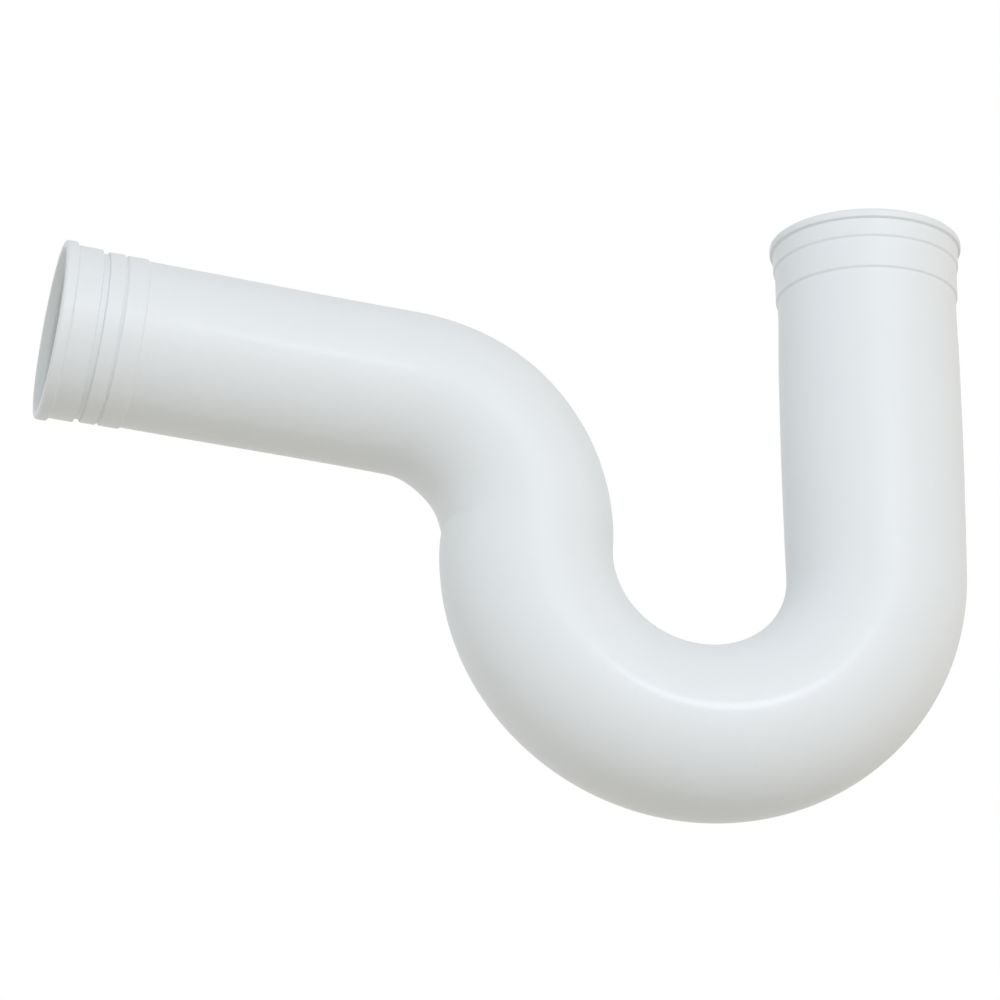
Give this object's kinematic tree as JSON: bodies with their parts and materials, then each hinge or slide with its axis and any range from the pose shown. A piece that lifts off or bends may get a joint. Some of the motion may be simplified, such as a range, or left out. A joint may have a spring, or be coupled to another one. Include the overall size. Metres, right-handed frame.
{
  "type": "waste trap",
  "caption": "One-piece white plastic waste trap: a straight inlet leg, a U bend, an elbow and an outlet arm, with a stepped or grooved collar round each open mouth.",
  "frame": {"origin": "centre of the inlet mouth, in the plane of its rim", "axes": "+Z along the inlet leg, out of its mouth; the outlet arm runs towards -X; Y is across the tube"},
  "size_m": [0.2584, 0.054, 0.1709],
  "materials": {
    "plastic": "satin white moulded plastic"
  },
  "bodies": {
    "root": {"trap_body": "plastic"}
  },
  "joints": []
}
